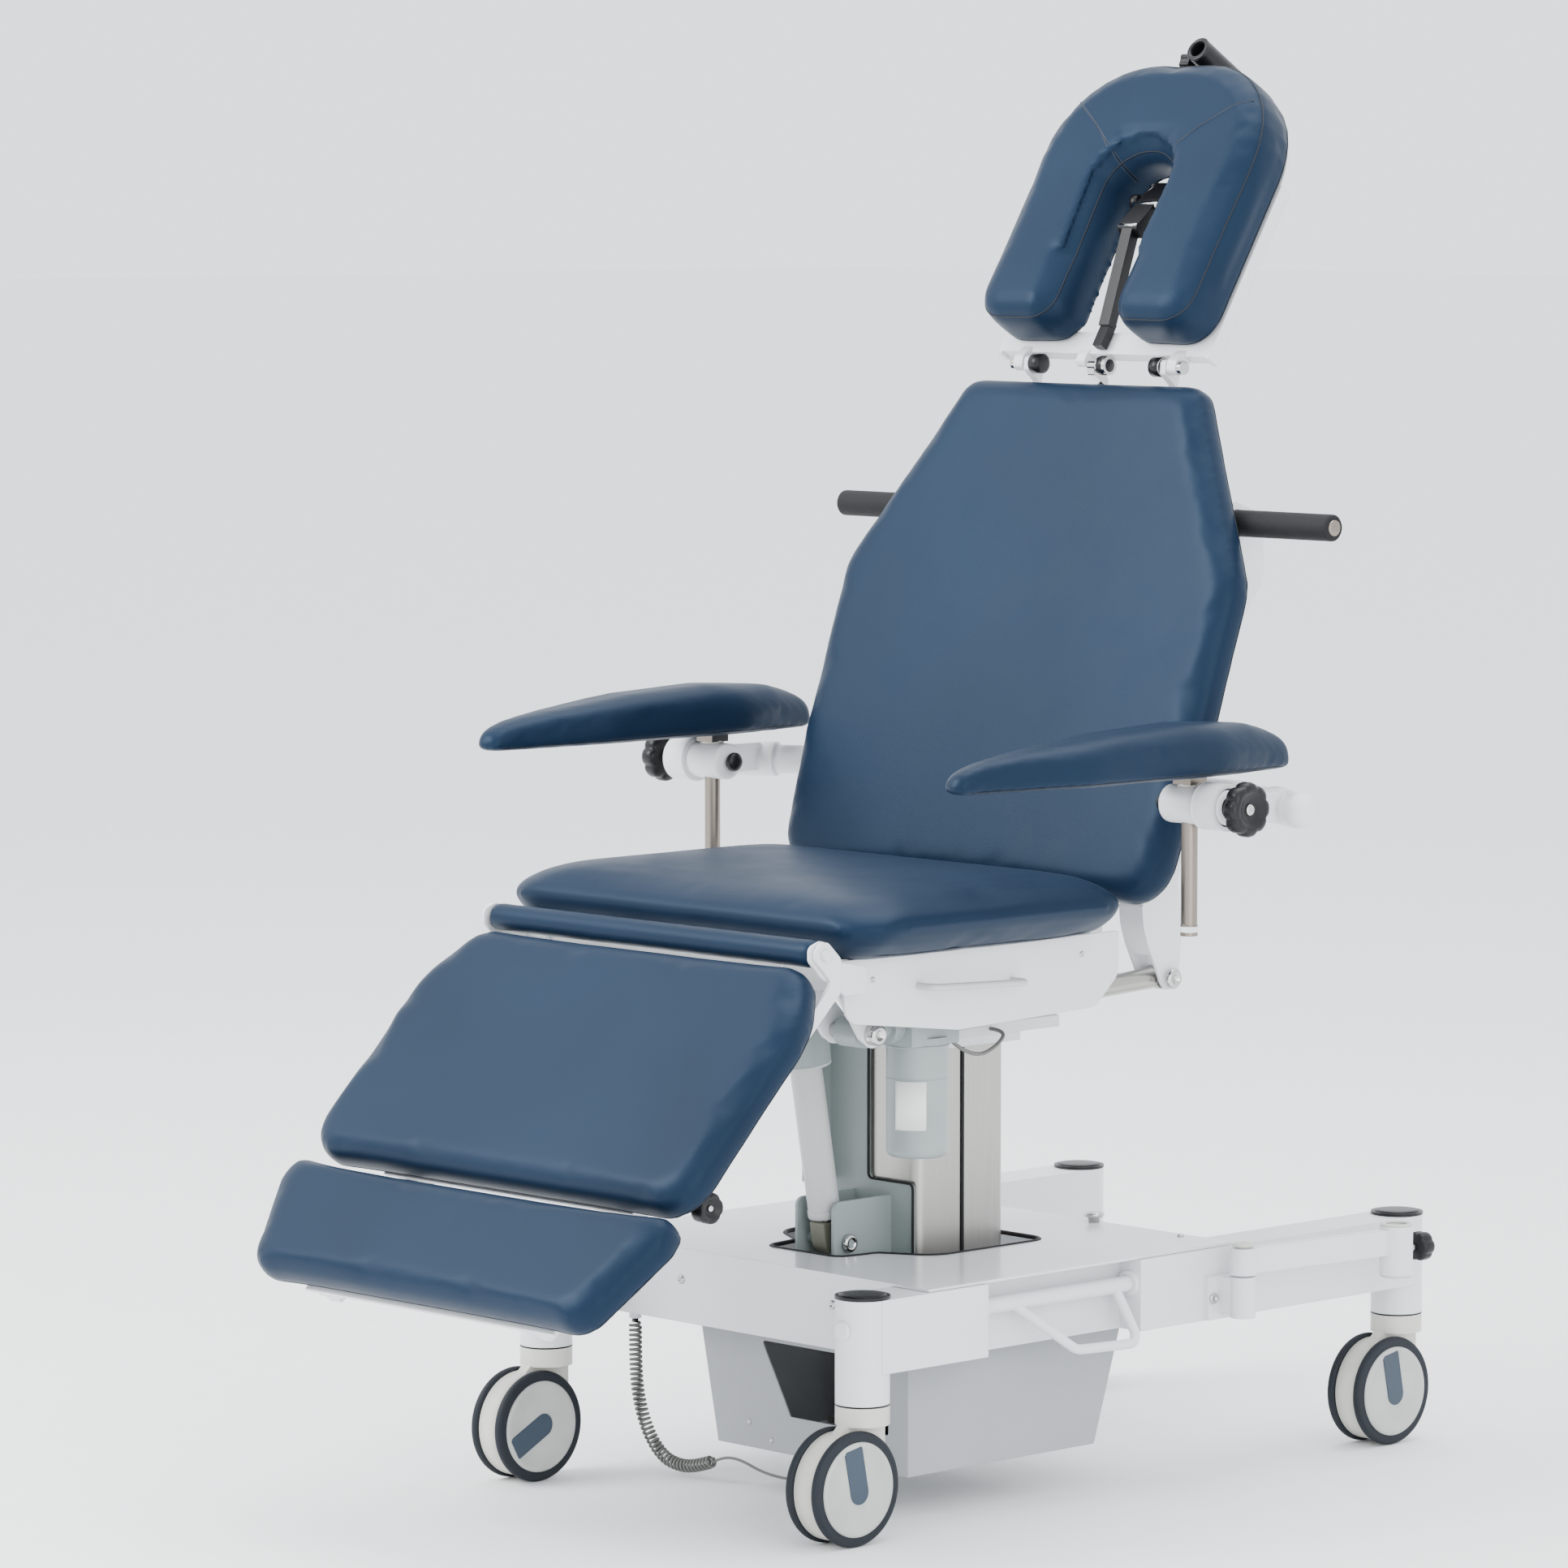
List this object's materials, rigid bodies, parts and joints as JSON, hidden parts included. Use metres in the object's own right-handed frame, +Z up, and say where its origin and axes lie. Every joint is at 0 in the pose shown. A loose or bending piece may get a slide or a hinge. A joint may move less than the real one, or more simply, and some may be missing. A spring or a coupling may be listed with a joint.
{
  "type": "medical exam table",
  "caption": "Mobile treatment table with lifting column, tilting seat, reclining back, leg and foot sections, slotted headrest and adjustable armrests.",
  "frame": {"origin": "on the floor, under the centre of the whole table's width and length", "axes": "+X to the side of the back section's visible actuator, which is the sitter's left; +Y towards the head end; +Z up"},
  "size_m": [0.9648, 1.3158, 1.6082],
  "materials": {
    "white_frame": "white powder coat, satin",
    "grey_frame": "grey-green powder coat",
    "column_metal": "brushed and anodised",
    "tube_white": "satin",
    "steel": "brushed",
    "chrome_bolts": "polished",
    "upholstery": "navy vinyl over foam, satin",
    "grip_rubber": "foam grip, matte",
    "black_plastic": "black, satin",
    "grey_plastic": "grey, satin",
    "caster_plastic": "cream, satin",
    "wheel_tyre": "slate grey tread",
    "cord_black": "matte"
  },
  "bodies": {
    "base": {"side_beams": "white_frame", "chassis_frame": "white_frame", "caster_posts": "white_frame", "post_caps": "black_plastic", "base_cover": "white_frame", "lower_box": "grey_frame", "control_unit": "black_plastic", "column_inner": "column_metal", "lift_motor": "grey_frame", "curly_cord": "cord_black", "cord_lead": "cord_black"},
    "column_middle": {"column_middle": "column_metal"},
    "column": {"column_outer": "column_metal", "column_bracket": "grey_frame", "column_head": "white_frame"},
    "tilt_rod": {"tilt_rod": "steel"},
    "tilt_tube": {"tilt_tube": "tube_white"},
    "seat": {"seat_frame": "white_frame", "side_panels": "white_frame", "side_handles": "steel", "leg_roll": "upholstery", "seat_cushion": "upholstery", "pivot_bolts": "chrome_bolts", "leg_actuator_tube": "grey_plastic", "motor_cable": "cord_black"},
    "leg_rod": {"leg_actuator_rod": "steel"},
    "back_tube": {"back_actuator_tube": "grey_plastic"},
    "back_rod": {"back_actuator_rod": "steel"},
    "leg": {"leg_frame": "white_frame", "leg_pad": "upholstery"},
    "foot": {"foot_frame": "white_frame", "foot_pad": "upholstery"},
    "foot_knob": {"foot_knob": "black_plastic"},
    "back": {"back_frame": "white_frame", "back_pad": "upholstery", "push_bar": "grip_rubber", "head_hinge_pins": "chrome_bolts"},
    "head": {"headrest_frame": "white_frame", "headrest_pad": "upholstery", "headrest_rail": "black_plastic"},
    "brake_left": {"brake_pedal_left": "white_frame"},
    "brake_right": {"brake_pedal_right": "white_frame"},
    "swing_arm": {"swing_arm": "white_frame"},
    "arm_knob": {"arm_knob": "black_plastic"},
    "arm_clamp_left": {"armrest_clamp_left": "white_frame"},
    "arm_post_left": {"armrest_post_left": "steel"},
    "arm_pad_left": {"armrest_pad_left": "upholstery"},
    "arm_wheel_left": {"armrest_wheel_left": "black_plastic"},
    "arm_clamp_right": {"armrest_clamp_right": "white_frame"},
    "arm_post_right": {"armrest_post_right": "steel"},
    "arm_pad_right": {"armrest_pad_right": "upholstery"},
    "arm_wheel_right": {"armrest_wheel_right": "black_plastic"},
    "caster_front_left": {"caster_housing_front_left": "caster_plastic"},
    "wheel_front_left": {"caster_wheel_front_left": "wheel_tyre"},
    "caster_front_right": {"caster_housing_front_right": "caster_plastic"},
    "wheel_front_right": {"caster_wheel_front_right": "wheel_tyre"},
    "caster_rear_left": {"caster_housing_rear_left": "caster_plastic"},
    "wheel_rear_left": {"caster_wheel_rear_left": "wheel_tyre"},
    "caster_rear_right": {"caster_housing_rear_right": "caster_plastic"},
    "wheel_rear_right": {"caster_wheel_rear_right": "wheel_tyre"}
  },
  "joints": [
    {"name": "column_lift", "type": "slide", "parent": "base", "child": "column", "axis": [0, 0, 1], "range_m": [0, 0.35]},
    {"name": "column_mid", "type": "slide", "parent": "base", "child": "column_middle", "axis": [0, 0, 1], "range_m": [0, 0.176]},
    {"name": "seat_tilt", "type": "hinge", "parent": "column", "child": "seat", "pos_m": [0, 0.202, 0.56], "axis": [-1, 0, 0], "range_deg": [0, 12]},
    {"name": "tilt_rod_turn", "type": "hinge", "parent": "column", "child": "tilt_rod", "pos_m": [0, -0.038, 0.275], "axis": [-1, 0, 0], "range_deg": [0, 2.5]},
    {"name": "tilt_tube_slide", "type": "slide", "parent": "tilt_rod", "child": "tilt_tube", "axis": [0, -0.1732, 0.9849], "range_m": [0, 0.06]},
    {"name": "leg_lift", "type": "hinge", "parent": "seat", "child": "leg", "pos_m": [0, -0.3, 0.636], "axis": [-1, 0, 0], "range_deg": [-15, 45.7]},
    {"name": "leg_rod_slide", "type": "slide", "parent": "seat", "child": "leg_rod", "axis": [0, -1, 0], "range_m": [-0.0195, 0.058]},
    {"name": "foot_slide", "type": "slide", "parent": "leg", "child": "foot", "axis": [0, -0.6984, -0.7157], "range_m": [0, 0.12]},
    {"name": "foot_knob_turn", "type": "hinge", "parent": "leg", "child": "foot_knob", "pos_m": [0.225, -0.478, 0.38773], "axis": [1, 0, 0], "continuous": true},
    {"name": "back_recline", "type": "hinge", "parent": "seat", "child": "back", "pos_m": [0, 0.227, 0.612], "axis": [-1, 0, 0], "range_deg": [0, 70.7]},
    {"name": "back_tube_turn", "type": "hinge", "parent": "seat", "child": "back_tube", "pos_m": [0.182, -0.174, 0.536], "axis": [-1, 0, 0], "range_deg": [0, 4.2]},
    {"name": "back_rod_slide", "type": "slide", "parent": "back_tube", "child": "back_rod", "axis": [0, 0.999, 0.0444], "range_m": [-0.102, 0]},
    {"name": "headrest_tilt", "type": "hinge", "parent": "back", "child": "head", "pos_m": [0, 0.38915, 1.23599], "axis": [-1, 0, 0], "range_deg": [-45, 15]},
    {"name": "armrest_tilt_left", "type": "hinge", "parent": "back", "child": "arm_clamp_left", "pos_m": [0.4, 0.14, 0.775], "axis": [-1, 0, 0], "range_deg": [-65, 5]},
    {"name": "armrest_height_left", "type": "slide", "parent": "arm_clamp_left", "child": "arm_post_left", "axis": [0, 0, 1], "range_m": [0, 0.11]},
    {"name": "armrest_swivel_left", "type": "hinge", "parent": "arm_post_left", "child": "arm_pad_left", "pos_m": [0.379, 0.14, 0.8], "axis": [0, 0, -1], "range_deg": [-10, 90]},
    {"name": "armrest_wheel_turn_left", "type": "hinge", "parent": "arm_clamp_left", "child": "arm_wheel_left", "pos_m": [0.455, 0.14, 0.775], "axis": [1, 0, 0], "continuous": true},
    {"name": "brake_left", "type": "hinge", "parent": "base", "child": "brake_left", "pos_m": [0.268, 0.047, 0.235], "axis": [0, 1, 0], "range_deg": [-15, 15]},
    {"name": "armrest_tilt_right", "type": "hinge", "parent": "back", "child": "arm_clamp_right", "pos_m": [-0.4, 0.14, 0.775], "axis": [-1, 0, 0], "range_deg": [-65, 5]},
    {"name": "armrest_height_right", "type": "slide", "parent": "arm_clamp_right", "child": "arm_post_right", "axis": [0, 0, 1], "range_m": [0, 0.11]},
    {"name": "armrest_swivel_right", "type": "hinge", "parent": "arm_post_right", "child": "arm_pad_right", "pos_m": [-0.379, 0.14, 0.8], "axis": [0, 0, 1], "range_deg": [-10, 90]},
    {"name": "armrest_wheel_turn_right", "type": "hinge", "parent": "arm_clamp_right", "child": "arm_wheel_right", "pos_m": [-0.455, 0.14, 0.775], "axis": [1, 0, 0], "continuous": true},
    {"name": "brake_right", "type": "hinge", "parent": "base", "child": "brake_right", "pos_m": [-0.268, 0.047, 0.235], "axis": [0, 1, 0], "range_deg": [-15, 15]},
    {"name": "swing_arm_turn", "type": "hinge", "parent": "base", "child": "swing_arm", "pos_m": [0.318, 0.296, 0.251], "axis": [0, 0, -1], "range_deg": [0, 90]},
    {"name": "arm_knob_turn", "type": "hinge", "parent": "swing_arm", "child": "arm_knob", "pos_m": [0.34, 0.557, 0.241], "axis": [0, 1, 0], "continuous": true},
    {"name": "swivel_front_left", "type": "hinge", "parent": "base", "child": "caster_front_left", "pos_m": [0.254, -0.2315, 0.15], "axis": [0, 0, 1], "continuous": true},
    {"name": "roll_front_left", "type": "hinge", "parent": "caster_front_left", "child": "wheel_front_left", "pos_m": [0.254, -0.2615, 0.0625], "axis": [1, 0, 0], "continuous": true},
    {"name": "swivel_front_right", "type": "hinge", "parent": "base", "child": "caster_front_right", "pos_m": [-0.254, -0.2315, 0.15], "axis": [0, 0, 1], "continuous": true},
    {"name": "roll_front_right", "type": "hinge", "parent": "caster_front_right", "child": "wheel_front_right", "pos_m": [-0.254, -0.2615, 0.0625], "axis": [1, 0, 0], "continuous": true},
    {"name": "swivel_rear_left", "type": "hinge", "parent": "base", "child": "caster_rear_left", "pos_m": [0.254, 0.6255, 0.15], "axis": [0, 0, 1], "continuous": true},
    {"name": "roll_rear_left", "type": "hinge", "parent": "caster_rear_left", "child": "wheel_rear_left", "pos_m": [0.254, 0.5955, 0.0625], "axis": [1, 0, 0], "continuous": true},
    {"name": "swivel_rear_right", "type": "hinge", "parent": "base", "child": "caster_rear_right", "pos_m": [-0.254, 0.6255, 0.15], "axis": [0, 0, 1], "continuous": true},
    {"name": "roll_rear_right", "type": "hinge", "parent": "caster_rear_right", "child": "wheel_rear_right", "pos_m": [-0.254, 0.5955, 0.0625], "axis": [1, 0, 0], "continuous": true}
  ],
  "couplings": [
    {"joint": "column_mid", "follows": "column_lift", "ratio": 0.5},
    {"joint": "tilt_rod_turn", "follows": "seat_tilt", "ratio": 0.20118},
    {"joint": "tilt_tube_slide", "follows": "seat_tilt", "m_per_rad": 0.2811},
    {"joint": "leg_rod_slide", "follows": "leg_lift", "m_per_rad": 0.071},
    {"joint": "back_tube_turn", "follows": "back_recline", "ratio": 0.05797},
    {"joint": "back_rod_slide", "follows": "back_recline", "m_per_rad": -0.0814}
  ]
}
